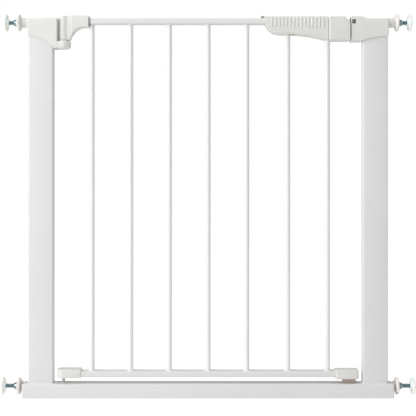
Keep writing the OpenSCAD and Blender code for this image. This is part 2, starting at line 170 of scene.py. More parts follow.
def zinc_plated_steel():
    """Blue-passivated zinc on rolled thread: dark teal drifting to pale in small patches. The pale
    tone is lightened as a painted highlight for the light streak along the thread.
    """
    return grained("zinc_plated_steel", "#b9cccf", "#5a6f73", 1.6, 0.35, 0.012, 0.24, 0.08,
                   {"Metallic": 1.0})


def drawn_steel():
    """Drawn and ground steel of pins, bolt and screws: pale grey with a soft fine scratch."""
    return grained("drawn_steel", "#c6c9cb", "#aaaeb1", 3.5, 0.25, 0.008, 0.28, 0.07,
                   {"Metallic": 1.0})


def moulded_nylon():
    """Natural nylon of the bushes: off-white, smooth and waxy."""
    return grained("moulded_nylon", "#e0e0d8", "#d4d4cb", 10, 0.5, 0.01, 0.35, 0.04,
                   {"IOR": 1.53, "Subsurface Weight": 0.1, "Subsurface Scale": 0.002})


def moulded_grey_abs():
    """Mid-grey ABS of the small tab, with the same eroded grain as the grip. The same colour paints
    the shade ring at the bracket's end.
    """
    return grained("moulded_grey_abs", "#9c9d9a", "#8b8c89", 8, 0.6, 0.02, 0.5, 0.06,
                   {"IOR": 1.54})


def moulded_stop_nylon():
    """Nylon of the bottom stop, dull from its coarse mould finish. Its darkish tan tone is painted
    shade, standing for the brown shade under the latch shoe, and the same colour paints the shade
    ring at the lower wheels' hubs.
    """
    return grained("moulded_stop_nylon", "#c0b2a4", "#a59585", 9, 0.7, 0.03, 0.55, 0.06,
                   {"IOR": 1.53})


MATERIALS = {
    "frame_enamel": powder_coated_steel(),
    # the bars' coat is painted lighter than the frame's, a painted highlight
    "bar_enamel": powder_coated_bar(),
    "casing_plastic": moulded_abs(),
    "grip_plastic": moulded_grip_abs(),
    "wheel_plastic": moulded_polypropylene(),
    "end_cap_plastic": moulded_cap_polypropylene(),
    "pad_rubber": soft_elastomer(),
    "zinc_steel": zinc_plated_steel(),
    "bright_steel": drawn_steel(),
    "nylon": moulded_nylon(),
    "tab_plastic": moulded_grey_abs(),
    # the stop's tan tone is painted shade
    "stop_plastic": moulded_stop_nylon(),
}
RAIL_ENAMEL = powder_coated_rail()
BODY_OF = {node: body for body, nodes in frame["record"]["behaviour"]["bodies"].items()
           for node in nodes}
SLOT_OF = {row["node"]: row["material_slot"] for row in frame["record"]["subparts"]}


# ---------------------------------------------------------------- mesh building

def new_object(name, mesh):
    """Links an object for a mesh into the scene."""
    made = bpy.data.objects.new(name, mesh)
    bpy.context.scene.collection.objects.link(made)
    return made


def object_of(name, bm):
    """Turns a bmesh into an object and frees it."""
    mesh = bpy.data.meshes.new(name)
    bm.to_mesh(mesh)
    bm.free()
    return new_object(name, mesh)


def settle(obj, crease_deg=32):
    """Replaces an object's mesh by its evaluated one, with smooth faces and sharp creases."""
    graph = bpy.context.evaluated_depsgraph_get()
    mesh = bpy.data.meshes.new_from_object(obj.evaluated_get(graph))
    obj.modifiers.clear()
    obj.data = mesh
    mesh.name = obj.name
    mesh.shade_smooth()
    mesh.set_sharp_from_angle(angle=math.radians(crease_deg))
    return obj


def add_trim(obj, body, slot):
    """Gives a piece the material of a slot, and its body. Trim stands for no CAD node."""
    obj.data.materials.clear()
    obj.data.materials.append(MATERIALS[slot])
    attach(obj, body)
    return obj


def adopt(obj, *nodes):
    """Finishes a piece as the first of its CAD nodes, and lets it stand for all of them."""
    add_trim(obj, BODY_OF[nodes[0]], SLOT_OF[nodes[0]])
    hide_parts(*nodes)
    return obj


def turned(axis, along, u, v):
    """A point from its place along an axis and its two places across it."""
    if axis == "x":
        return Vector((along, u, v))
    if axis == "y":
        return Vector((u, along, v))
    return Vector((u, v, along))


def skin(bm, rings, closed=False):
    """Faces between equal rings of points, with the first and last ring filled unless closed."""
    rows = [[bm.verts.new(p) for p in ring] for ring in rings]
    count = len(rows[0])
    pairs = list(zip(rows, rows[1:])) + ([(rows[-1], rows[0])] if closed else [])
    for a, b in pairs:
        for i in range(count):
            j = (i + 1) % count
            bm.faces.new((a[i], a[j], b[j], b[i]))
    if not closed:
        bm.faces.new(rows[0])
        bm.faces.new(rows[-1])
    bmesh.ops.remove_doubles(bm, verts=bm.verts, dist=1e-7)
    bmesh.ops.recalc_face_normals(bm, faces=bm.faces)


def round_rect(width, height, radius, steps=5):
    """The outline of a rounded rectangle round the origin."""
    points = []
    for k, (sx, sy) in enumerate(((1, 1), (-1, 1), (-1, -1), (1, -1))):
        cx = sx * (width / 2 - radius)
        cy = sy * (height / 2 - radius)
        for i in range(steps + 1):
            a = TAU * (k + i / steps) / 4
            points.append((cx + radius * math.cos(a), cy + radius * math.sin(a)))
    return points


def tube(axis, low, high, centre, size, radius, wall):
    """A rectangular steel tube with rounded corners and open ends."""
    outer = round_rect(size[0], size[1], radius)
    inner = round_rect(size[0] - 2 * wall, size[1] - 2 * wall, radius - wall * 0.7)
    rings = []
    for along, outline in ((low, outer), (high, outer), (high, inner), (low, inner)):
        rings.append([turned(axis, along, centre[0] + u, centre[1] + v) for u, v in outline])
    bm = bmesh.new()
    skin(bm, rings, closed=True)
    return bm


def lathe(axis, centre, profile, steps=64, lobes=0, depth=0.0, beyond=1.0):
    """Turns (along, radius) points round an axis. Points further out than beyond are scalloped
    by so many lobes of that depth."""
    rings = []
    for i in range(steps):
        a = TAU * i / steps
        dip = depth * (0.5 - 0.5 * math.cos(lobes * a)) if lobes else 0.0
        ring = []
        for along, radius in profile:
            r = radius - dip if radius > beyond else radius
            ring.append(turned(axis, along, centre[0] + r * math.cos(a),
                               centre[1] + r * math.sin(a)))
        rings.append(ring)
    bm = bmesh.new()
    skin(bm, rings, closed=True)
    loose = [e for e in bm.edges if not e.link_faces]
    bmesh.ops.delete(bm, geom=loose, context="EDGES")
    return bm


def section(x, half, low, high, r_low, r_high, steps=5):
    """A cross-section of a moulding at x: half its depth, its height and its corner radii."""
    points = []
    corners = ((1, high, r_high, 0), (-1, high, r_high, 1), (-1, low, r_low, 2), (1, low, r_low, 3))
    for side, z, radius, quarter in corners:
        r = max(min(radius, half * 0.98, (high - low) * 0.49), 1e-5)
        cy = side * (half - r)
        cz = z - r if z == high else z + r
        for i in range(steps + 1):
            a = TAU * (quarter + i / steps) / 4
            points.append(Vector((x, cy + r * math.cos(a), cz + r * math.sin(a))))
    return points


def stations(x0, x1, ends, count):
    """Places along a moulding, closer together where its ends are rounded by ends."""
    places = []
    for start, sign, radius in ((x0, 1, ends[0]), (x1, -1, ends[1])):
        places += [start + sign * radius * (1 - math.cos(TAU / 4 * i / 5)) for i in range(6)]
    inside = [x0 + (x1 - x0) * i / count for i in range(count + 1)]
    places += [x for x in inside if x0 + ends[0] < x < x1 - ends[1]]
    return sorted(set(round(x, 7) for x in places))


def moulding(x0, x1, half, low, high, corner=(2 * MM, 2 * MM), ends=(1 * MM, 1 * MM), count=40,
             extra=()):
    """A lofted moulding along X. half, low and high are functions of x or numbers; its ends are
    rounded over by the radii in ends, and extra adds places where its outline turns."""
    def at(value, x):
        return value(x) if callable(value) else value

    rings = []
    for x in sorted(set(stations(x0, x1, ends, count)) | set(extra)):
        inset = 0.0
        for gap, radius in ((x - x0, ends[0]), (x1 - x, ends[1])):
            if gap < radius:
                inset = max(inset, radius - math.sqrt(max(radius ** 2 - (radius - gap) ** 2, 0)))
        rings.append(section(x, max(at(half, x) - inset, 0.05 * MM), at(low, x) + inset,
                             at(high, x) - inset, *corner))
    bm = bmesh.new()
    skin(bm, rings)
    return bm


def box_bm(low, high):
    """A plain box, used only to cut with."""
    bm = bmesh.new()
    bmesh.ops.create_cube(bm, size=1.0)
    for vert in bm.verts:
        for k in range(3):
            vert.co[k] = low[k] if vert.co[k] < 0 else high[k]
    return bm


def rod_bm(axis, centre, radius, low, high, steps=32):
    """A plain rod, used only to cut with."""
    rings = []
    for along in (low, high):
        ring = []
        for i in range(steps):
            a = TAU * i / steps
            ring.append(turned(axis, along, centre[0] + radius * math.cos(a),
                               centre[1] + radius * math.sin(a)))
        rings.append(ring)
    bm = bmesh.new()
    skin(bm, rings)
    return bm


def carve(bm, cutters, operation="DIFFERENCE"):
    """The bmesh less each cutter's solid."""
    target = object_of("carved", bm)
    others = [object_of("cutter", cutter) for cutter in cutters]
    for other in others:
        step = target.modifiers.new("carve", "BOOLEAN")
        step.object = other
        step.operation = operation
        step.solver = "EXACT"
    graph = bpy.context.evaluated_depsgraph_get()
    mesh = bpy.data.meshes.new_from_object(target.evaluated_get(graph))
    result = bmesh.new()
    result.from_mesh(mesh)
    for spare in [target, *others]:
        data = spare.data
        bpy.data.objects.remove(spare)
        bpy.data.meshes.remove(data)
    bpy.data.meshes.remove(mesh)
    bmesh.ops.remove_doubles(result, verts=result.verts, dist=2e-7)
    bmesh.ops.dissolve_degenerate(result, edges=result.edges, dist=1e-7)
    open_edges = [edge for edge in result.edges if edge.is_boundary]
    bmesh.ops.holes_fill(result, edges=open_edges, sides=0)
    return result


def softened(node, width_mm, name=None):
    """A CAD node's shape with its sharp edges rounded over."""
    bm = bmesh.new()
    bm.from_mesh(frame["nodes"][node].data)
    bmesh.ops.remove_doubles(bm, verts=bm.verts, dist=1e-6)
    bmesh.ops.dissolve_limit(bm, angle_limit=math.radians(1), verts=bm.verts, edges=bm.edges)
    piece = object_of(name or node + "_finish", bm)
    bevel = piece.modifiers.new("round", "BEVEL")
    bevel.width = width_mm * MM
    bevel.segments = 3
    bevel.limit_method = "ANGLE"
    bevel.angle_limit = math.radians(40)
    return adopt(settle(piece), node)


def islands(node):
    """The box of each separate solid of a CAD node, as (low, high) corners."""
    bm = bmesh.new()
    bm.from_mesh(frame["nodes"][node].data)
    bmesh.ops.remove_doubles(bm, verts=bm.verts, dist=1e-6)
    left = set(bm.verts)
    boxes = []
    while left:
        stack = [left.pop()]
        found = []
        while stack:
            vert = stack.pop()
            found.append(vert.co.copy())
            for edge in vert.link_edges:
                other = edge.other_vert(vert)
                if other in left:
                    left.remove(other)
                    stack.append(other)
        boxes.append((Vector([min(c[k] for c in found) for k in range(3)]),
                      Vector([max(c[k] for c in found) for k in range(3)])))
    bm.free()
    return boxes


# ---------------------------------------------------------------- geometry node tools

def new_tree(name, inputs):
    """A geometry node tree with a geometry input, named number inputs and a geometry output."""
    tree = bpy.data.node_groups.new(name, "GeometryNodeTree")
    tree.interface.new_socket("Geometry", in_out="INPUT", socket_type="NodeSocketGeometry")
    for label, kind in inputs.items():
        tree.interface.new_socket(label, in_out="INPUT", socket_type="NodeSocket" + kind)
    tree.interface.new_socket("Geometry", in_out="OUTPUT", socket_type="NodeSocketGeometry")
    return tree, add_node(tree, "NodeGroupInput")


def close_tree(tree, source, shape):
    """Puts a shape on every point, and ends the tree in Realize Instances and Set Material."""
    placed = add_node(tree, "GeometryNodeInstanceOnPoints", None,
                      {"Points": source.outputs["Geometry"], "Instance": shape})
    real = add_node(tree, "GeometryNodeRealizeInstances", None,
                    {"Geometry": placed.outputs["Instances"]})
    dressed = add_node(tree, "GeometryNodeSetMaterial", None,
                       {"Geometry": real.outputs["Geometry"],
                        "Material": source.outputs["Material"]})
    add_node(tree, "NodeGroupOutput", None, {"Geometry": dressed.outputs["Geometry"]})
    return tree


def wound_curve(tree, source, radius):
    """A helix along +Z with the tree's length and turns, and the radius of a named input."""
    return add_node(tree, "GeometryNodeCurveSpiral", None,
                    {"Resolution": source.outputs["Turn Steps"],
                     "Rotations": source.outputs["Turns"],
                     "Start Radius": source.outputs[radius],
                     "End Radius": source.outputs[radius],
                     "Height": source.outputs["Length"]})


def grown(name, tree, values, points):
    """Runs a tree on loose points with these input values and returns the plain mesh object."""
    mesh = bpy.data.meshes.new(name)
    mesh.from_pydata([tuple(p) for p in points], [], [])
    obj = new_object(name, mesh)
    modifier = obj.modifiers.new("grow", "NODES")
    modifier.node_group = tree
    for item in tree.interface.items_tree:
        if item.in_out == "INPUT" and item.name in values:
            modifier[item.identifier] = values[item.name]
    return settle(obj)


def copies_tree():
    """Puts a copy of an object on every point."""
    tree, source = new_tree("copies_on_points", {"Copy": "Object", "Material": "Material"})
    info = add_node(tree, "GeometryNodeObjectInfo", {"As Instance": True},
                    {"Object": source.outputs["Copy"]})
    return close_tree(tree, source, info.outputs["Geometry"])


def thread_tree():
    """A threaded rod along +Z from each point: a core with one ridge wound round it."""
    tree, source = new_tree("threaded_rod", {
        "Length": "Float", "Turns": "Float", "Core Radius": "Float", "Ridge": "Float",
        "Turn Steps": "Int", "Material": "Material"})
    wind = wound_curve(tree, source, "Core Radius")
    ridge = add_node(tree, "GeometryNodeCurvePrimitiveCircle", {"Resolution": 4},
                     {"Radius": source.outputs["Ridge"]})
    upright = add_node(tree, "GeometryNodeSetCurveNormal", {"mode": "Z_UP"},
                       {"Curve": wind.outputs["Curve"]})
    wound = add_node(tree, "GeometryNodeCurveToMesh", {"Fill Caps": True},
                     {"Curve": upright.outputs["Curve"],
                      "Profile Curve": ridge.outputs["Curve"]})
    core = add_node(tree, "GeometryNodeMeshCylinder", {"Vertices": 32},
                    {"Radius": source.outputs["Core Radius"],
                     "Depth": source.outputs["Length"]})
    half = add_node(tree, "ShaderNodeMath", {"operation": "MULTIPLY", 1: 0.5},
                    {0: source.outputs["Length"]})
    lift = add_node(tree, "ShaderNodeCombineXYZ", None, {"Z": half.outputs["Value"]})
    raised = add_node(tree, "GeometryNodeTransform", None,
                      {"Geometry": core.outputs["Mesh"], "Translation": lift.outputs["Vector"]})
    joined = add_node(tree, "GeometryNodeJoinGeometry")
    tree.links.new(wound.outputs["Mesh"], joined.inputs["Geometry"])
    tree.links.new(raised.outputs["Geometry"], joined.inputs["Geometry"])
    return close_tree(tree, source, joined.outputs["Geometry"])


def coil_tree():
    """A coil of round wire along +Z from each point."""
    tree, source = new_tree("wire_coil", {
        "Length": "Float", "Turns": "Float", "Coil Radius": "Float", "Wire Radius": "Float",
        "Turn Steps": "Int", "Material": "Material"})
    wind = wound_curve(tree, source, "Coil Radius")
    wire = add_node(tree, "GeometryNodeCurvePrimitiveCircle", {"Resolution": 12},
                    {"Radius": source.outputs["Wire Radius"]})
    wound = add_node(tree, "GeometryNodeCurveToMesh", {"Fill Caps": True},
                     {"Curve": wind.outputs["Curve"], "Profile Curve": wire.outputs["Curve"]})
    return close_tree(tree, source, wound.outputs["Mesh"])


def row_tree():
    """A row of copies along X from each point, each a little longer downwards than the last."""
    tree, source = new_tree("rib_row", {
        "Copy": "Object", "Count": "Int", "Pitch": "Float", "Stretch": "Float",
        "Material": "Material"})
    step = add_node(tree, "ShaderNodeCombineXYZ", None, {"X": source.outputs["Pitch"]})
    line = add_node(tree, "GeometryNodeMeshLine", None,
                    {"Count": source.outputs["Count"], "Offset": step.outputs["Vector"]})
    info = add_node(tree, "GeometryNodeObjectInfo", {"As Instance": True},
                    {"Object": source.outputs["Copy"]})
    index = add_node(tree, "GeometryNodeInputIndex")
    longer = add_node(tree, "ShaderNodeMath", {"operation": "MULTIPLY_ADD", 2: 1.0},
                      {0: index.outputs["Index"], 1: source.outputs["Stretch"]})
    size = add_node(tree, "ShaderNodeCombineXYZ", {"X": 1.0, "Y": 1.0},
                    {"Z": longer.outputs["Value"]})
    ribs = add_node(tree, "GeometryNodeInstanceOnPoints", None,
                    {"Points": line.outputs["Mesh"], "Instance": info.outputs["Geometry"],
                     "Scale": size.outputs["Vector"]})
    return close_tree(tree, source, ribs.outputs["Instances"])


COPIES = copies_tree()
THREAD = thread_tree()
COIL = coil_tree()
ROW = row_tree()

# ---------------------------------------------------------------- sizes shared by the pieces

TUBE_WALL = 1.2 * MM
THREAD_PITCH = 1.25 * MM
RUNNING_GAP = 0.05 * MM
SLIDING_GAP = 0.4 * MM
PARTING_GAP = 0.12 * MM
HUB_R = 9.5 * MM
UPPER_BUSH_R = 6.5 * MM
LOWER_BUSH_R = 5 * MM
SLEEVE_BORE_R = 5.5 * MM
FLOOR_RAIL_CORNER = 2.5 * MM
CUT_FROM_Z = 0.6         # below every casing and grip, so a cut from here opens their undersides
HINGE_X = sum(corner.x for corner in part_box("upper_hinge_pin")) / 2
UPPER_Z = sum(corner.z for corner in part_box("upper_left_spindle")) / 2
LOWER_Z = sum(corner.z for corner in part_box("lower_left_spindle")) / 2
SPINDLE_R = (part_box("upper_left_spindle")[1].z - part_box("upper_left_spindle")[0].z) / 2
RAIL_LOW, RAIL_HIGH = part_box("gate_top_rail")
RAIL_MID_Z = (RAIL_LOW.z + RAIL_HIGH.z) / 2


def finished(name, bm, *nodes, crease_deg=32):
    """A finished piece from a bmesh, standing for its CAD nodes."""
    return adopt(settle(object_of(name, bm), crease_deg), *nodes)


def middle(node):
    """The middle of a CAD node's box and its size."""
    lo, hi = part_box(node)
    return (lo + hi) / 2, hi - lo


def arc_height(x, centre_x, centre_z, radius, floor_z):
    """The height of a round underside at x, or floor_z where it is lower than that."""
    across = radius ** 2 - (x - centre_x) ** 2
    return max(floor_z, centre_z + math.sqrt(across)) if across > 0 else floor_z


# ---------------------------------------------------------------- steel frame

def weld_bead(bm, centre, size, corner, z, leg):
    """A fillet weld round a tube's foot, with the ripples of its passes."""
    def outline(offset):
        points = round_rect(size[0] + 2 * offset, size[1] + 2 * offset, corner + offset)
        dense = []
        for p, q in zip(points, points[1:] + points[:1]):
            long_side = math.dist(p, q) > 2 * corner
            parts = 24 if long_side else 1
            dense += [(p[0] + (q[0] - p[0]) * k / parts, p[1] + (q[1] - p[1]) * k / parts)
                      for k in range(parts)]
        return dense

    inner, bulge, outer = outline(-leg / 4), outline(leg / 2), outline(leg)
    rings = []
    for k in range(len(inner)):
        ripple = 1 + 0.16 * math.sin(k * 1.9) + 0.08 * math.sin(k * 0.7)
        mix = [inner[k][a] + (bulge[k][a] - inner[k][a]) * ripple for a in (0, 1)]
        reach = [inner[k][a] + (outer[k][a] - inner[k][a]) * ripple for a in (0, 1)]
        rings.append([
            Vector((centre.x + inner[k][0], centre.y + inner[k][1], z - leg / 4)),
            Vector((centre.x + inner[k][0], centre.y + inner[k][1], z + leg * ripple)),
            Vector((centre.x + mix[0], centre.y + mix[1], z + leg * 0.6 * ripple)),
            Vector((centre.x + reach[0], centre.y + reach[1], z - leg / 4)),
        ])
    bead = bmesh.new()
    skin(bead, rings, closed=True)
    mesh = bpy.data.meshes.new("bead")
    bead.to_mesh(mesh)
    bead.free()
    bm.from_mesh(mesh)
    bpy.data.meshes.remove(mesh)


def welded_post(node):
    """A post of rounded tube with the weld round its foot."""
    centre, size = middle(node)
    corner = 3 * MM
    lo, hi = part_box(node)
    bm = tube("z", lo.z, hi.z, centre.xy, size.xy, corner, TUBE_WALL)
    weld_bead(bm, centre, size.xy, corner, lo.z, 1.5 * MM)
    return finished(node + "_tube", bm, node)


def floor_rail():
    """The bottom rail of rounded tube, drilled for the lower pin's bush."""
    lo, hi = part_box("bottom_rail")
    centre, size = middle("bottom_rail")
    bm = tube("x", lo.x, hi.x, (centre.y, centre.z), size.yz, FLOOR_RAIL_CORNER,
              TUBE_WALL)
    bm = carve(bm, [rod_bm("z", (HINGE_X, 0), LOWER_BUSH_R, hi.z - 5 * MM, hi.z + 5 * MM)])
    return finished("bottom_rail_tube", bm, "bottom_rail")


def rail_end_cap(node):
    """A moulded cap with a softly rounded face, plugged into the rail's end."""
    lo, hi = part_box(node)
    centre, size = middle(node)
    side = 1 if centre.x > 0 else -1
    face = hi.x if side > 0 else -lo.x
    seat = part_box("bottom_rail")[1].x
    inner = face - size.x
    round_r = 1.4 * MM
    plug = (size.y - 2 * TUBE_WALL, size.z - 2 * TUBE_WALL)
    rings = [round_rect(*plug, 1.3 * MM)] * 2
    places = [inner, seat]
    rings.append(round_rect(size.y, size.z, FLOOR_RAIL_CORNER))
    places.append(seat)
    for k in range(5):
        turn = TAU / 16 * k
        inset = round_r * (1 - math.cos(turn))
        places.append(face - round_r + round_r * math.sin(turn))
        rings.append(round_rect(size.y - 2 * inset, size.z - 2 * inset,
                                FLOOR_RAIL_CORNER - inset / 2))
    bm = bmesh.new()
    skin(bm, [[Vector((side * x, u, centre.z + v)) for u, v in ring]
              for x, ring in zip(places, rings)])
    bore = rod_bm("x", (0, LOWER_Z), SPINDLE_R + RUNNING_GAP, min(side * inner, side * face) - MM,
                  max(side * inner, side * face) + MM)
    return finished(node + "_moulding", carve(bm, [bore]), node)


def upper_sleeve(node):
    """The turned-looking sleeve between a casing and its hand wheel, with its guide tube."""
    centre, size = middle(node)
    side = 1 if centre.x > 0 else -1
    outer_r = size.z / 2
    inner, face = centre.x * side - size.x / 2, centre.x * side + size.x / 2
    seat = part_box("latch_casing_front")[1].x
    bore = SPINDLE_R + RUNNING_GAP
    guide = SLEEVE_BORE_R - RUNNING_GAP
    profile = [(inner, bore), (inner, guide - 0.4 * MM), (inner + 0.4 * MM, guide), (seat, guide),
               (seat, outer_r), (seat + 4 * MM, outer_r), (seat + 4.6 * MM, outer_r - 0.6 * MM),
               (seat + 5.6 * MM, outer_r - 0.6 * MM), (seat + 6.2 * MM, outer_r),
               (face - 1.5 * MM, outer_r), (face - 0.5 * MM, outer_r - 0.45 * MM),
               (face, outer_r - 1.4 * MM), (face, bore)]
    bm = lathe("x", (0, UPPER_Z), [(side * a, r) for a, r in profile])
    return finished(node + "_moulding", bm, node)


# ---------------------------------------------------------------- casings over the posts

def post_cavity(node):
    """What a post's top takes out of its casing."""
    lo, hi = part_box(node)
    return box_bm((lo.x, lo.y, CUT_FROM_Z), (hi.x, hi.y, hi.z))


def screw_recesses(node, half):
    """The round sinks of a screw node's heads, in a face at half."""
    head_r = 3.5 * MM
    return [rod_bm("y", ((lo.x + hi.x) / 2, (lo.z + hi.z) / 2), head_r, half - 2 * MM,
                   half + 2 * MM) for lo, hi in islands(node)]


def half_of(bm, side):
    """The front (-1) or rear (1) half of a moulding, with a hair's gap at its parting line."""
    past_x, past_y, past_z = 0.5, 0.1, 1
    if side < 0:
        other = box_bm((-past_x, -PARTING_GAP, 0), (past_x, past_y, past_z))
    else:
        other = box_bm((-past_x, -past_y, 0), (past_x, PARTING_GAP, past_z))
    return carve(bm.copy(), [other])


def split_moulding(stem, bm, front, rear):
    """Both halves of a moulding as pieces that stand for their CAD nodes."""
    finished(stem + "_front_shell", half_of(bm, -1), front)
    finished(stem + "_rear_shell", half_of(bm, 1), rear)
    bm.free()


def hinge_casing():
    """The casing over the left post's top, with its round underside and its two screws."""
    lo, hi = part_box("hinge_casing_front")
    arc_r, arc_z = 66.4 * MM, 628.4 * MM
    outer_top = hi.z - 2 * MM
    rise = (hi.z - outer_top) / (hi.x - lo.x)
    bm = moulding(lo.x, hi.x, -lo.y,
                  lambda x: arc_height(x, lo.x, arc_z, arc_r, lo.z),
                  lambda x: outer_top + (x - lo.x) * rise,
                  corner=(1.2 * MM, 3 * MM), ends=(2 * MM, 1 * MM), count=64)
    cup_lo, cup_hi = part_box("hinge_cup")
    cutters = [post_cavity("left_post"), *screw_recesses("casing_screws", -lo.y),
               rod_bm("z", (HINGE_X, 0), (cup_hi.y - cup_lo.y) / 2, CUT_FROM_Z, cup_hi.z),
               rod_bm("x", (0, UPPER_Z), SLEEVE_BORE_R, lo.x - MM, lo.x + 30 * MM)]
    split_moulding("hinge_casing", carve(bm, cutters), "hinge_casing_front", "hinge_casing_rear")


def hinge_cup():
    """The round cup that carries the knuckle, with a drooping lower edge and its arm."""
    lo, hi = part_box("hinge_cup")
    cup_r = (hi.y - lo.y) / 2
    pin_r = (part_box("upper_hinge_pin")[1].x - HINGE_X)
    profile = [(lo.z + 2 * MM, 0), (lo.z + 2 * MM, pin_r), (hi.z, pin_r),
               (hi.z, cup_r - 1 * MM), (hi.z - 0.3 * MM, cup_r - 0.3 * MM), (hi.z - 1 * MM, cup_r)]
    droop = 4 * MM
    for k in range(7):
        turn = TAU / 24 * k
        profile.append((lo.z + droop * (1 - math.sin(turn)), cup_r - droop * (1 - math.cos(turn))))
    profile.append((lo.z, 0))
    cup = lathe("z", (HINGE_X, 0), profile)
    arm = moulding(lo.x, HINGE_X, cup_r - 0.6 * MM, lo.z, hi.z - 0.5 * MM, corner=(2 * MM, 1 * MM),
                   ends=(0.5 * MM, 0.5 * MM), count=12)
    keep_pin = rod_bm("z", (HINGE_X, 0), pin_r, lo.z + 2 * MM, hi.z + MM)
    bm = carve(carve(cup, [arm], "UNION"), [keep_pin])
    return finished("hinge_cup_moulding", bm, "hinge_cup")


def latch_casing():
    """The casing over the right post's top, notched for the bolt and the strike plate."""
    lo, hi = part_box("latch_casing_front")
    arc_r, arc_z = 141.6 * MM, 552.2 * MM
    step_x, slope_x = 293.5 * MM, 303 * MM
    slope_z, end_z = 727.5 * MM, 727 * MM

    def top(x):
        if x < step_x:
            return hi.z
        if x < slope_x:
            return hi.z + (slope_z - hi.z) * (x - step_x) / (slope_x - step_x)
        return slope_z + (end_z - slope_z) * (x - slope_x) / (hi.x - slope_x)

    bm = moulding(lo.x, hi.x, -lo.y, lambda x: arc_height(x, hi.x, arc_z, arc_r, lo.z), top,
                  corner=(1.2 * MM, 2.5 * MM), ends=(1 * MM, 2 * MM), count=64,
                  extra=(step_x, slope_x))
    plate_lo, plate_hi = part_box("strike_plate")
    bolt_lo, bolt_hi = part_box("latch_bolt")
    wall_x = lo.x + 1.2 * MM
    entry_half = bolt_hi.y + 0.5 * MM
    notch_half = plate_hi.y - 1 * MM
    notch_low = bolt_lo.z - 2 * MM
    cutters = [
        post_cavity("right_post"), *screw_recesses("casing_screws", -lo.y),
        box_bm((wall_x, -notch_half, notch_low), (plate_lo.x, notch_half, plate_hi.z)),
        box_bm((lo.x - MM, -entry_half, notch_low), (wall_x + MM, entry_half, plate_hi.z)),
        box_bm((wall_x, lo.y - MM, notch_low + 0.5 * MM),
               (plate_lo.x, 0, bolt_hi.z + 2.5 * MM)),
        box_bm((plate_lo.x - 0.1 * MM, plate_lo.y, plate_lo.z), tuple(plate_hi)),
        rod_bm("x", (0, UPPER_Z), SLEEVE_BORE_R, hi.x - 30 * MM, hi.x + MM),
    ]
    split_moulding("latch_casing", carve(bm, cutters), "latch_casing_front", "latch_casing_rear")


# ---------------------------------------------------------------- screws

def screw_prototype(name, head_r, head_h, shank_r, shank_l):
    """A cross-recess pan-head screw along +Y, its head's seat at the origin."""
    dome = [(head_h * math.sin(TAU / 4 * k / 5), head_r - head_r * 0.35 * (1 - math.cos(
        TAU / 4 * k / 5))) for k in range(6)]
    profile = [(-shank_l, 0), (-shank_l, shank_r * 0.5), (-shank_l + MM, shank_r), (0, shank_r),
               (0, head_r), *dome[1:], (head_h, 0)]
    bm = lathe("y", (0, 0), profile, steps=32)
    arm, slot = head_r * 0.62, 0.45 * MM
    cross = [box_bm((-arm, head_h - 0.9 * MM, -slot), (arm, head_h + MM, slot)),
             box_bm((-slot, head_h - 0.9 * MM, -arm), (slot, head_h + MM, arm))]
    return settle(object_of(name, carve(bm, cross)))


def screw_set(node, shank_mm):
    """All the screws of one CAD node as one piece."""
    head_h = 1.8 * MM
    proto = screw_prototype(node + "_pattern", 3.4 * MM, head_h, 1.6 * MM, shank_mm * MM)
    points = [((lo.x + hi.x) / 2, hi.y - head_h, (lo.z + hi.z) / 2) for lo, hi in islands(node)]
    piece = grown(node + "_set", COPIES,
                  {"Copy": proto, "Material": MATERIALS[SLOT_OF[node]]}, points)
    bpy.data.objects.remove(proto)
    return adopt(piece, node)


# ---------------------------------------------------------------- hinge

def turned_pin(node, tip_mm):
    """A steel pin along Z with chamfered ends."""
    lo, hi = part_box(node)
    r = (hi.x - lo.x) / 2
    tip = tip_mm * MM
    profile = [(lo.z, 0), (lo.z, r - tip), (lo.z + tip, r), (hi.z - tip, r), (hi.z, r - tip),
               (hi.z, 0)]
    mid = (lo + hi) / 2
    return finished(node + "_turned", lathe("z", (mid.x, mid.y), profile, steps=32), node)


def flanged_bush(node, flange_r, barrel_r, bore_r, flange_at, flange_h):
    """A nylon bush along Z: a barrel with a flange whose edges are eased."""
    lo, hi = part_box(node)
    ease = 0.3 * MM
    below = [(lo.z, barrel_r)] if flange_at > lo.z + ease else []
    above = [(hi.z, barrel_r)] if flange_at + flange_h < hi.z - ease else []
    profile = [(lo.z, bore_r), *below]
    if below:
        profile.append((flange_at, barrel_r))
    profile += [(flange_at, flange_r - ease), (flange_at + ease, flange_r),
                (flange_at + flange_h - ease, flange_r), (flange_at + flange_h, flange_r - ease)]
    if above:
        profile.append((flange_at + flange_h, barrel_r))
    profile += [*above, (hi.z, bore_r)]
    return finished(node + "_moulding", lathe("z", (HINGE_X, 0), profile), node)


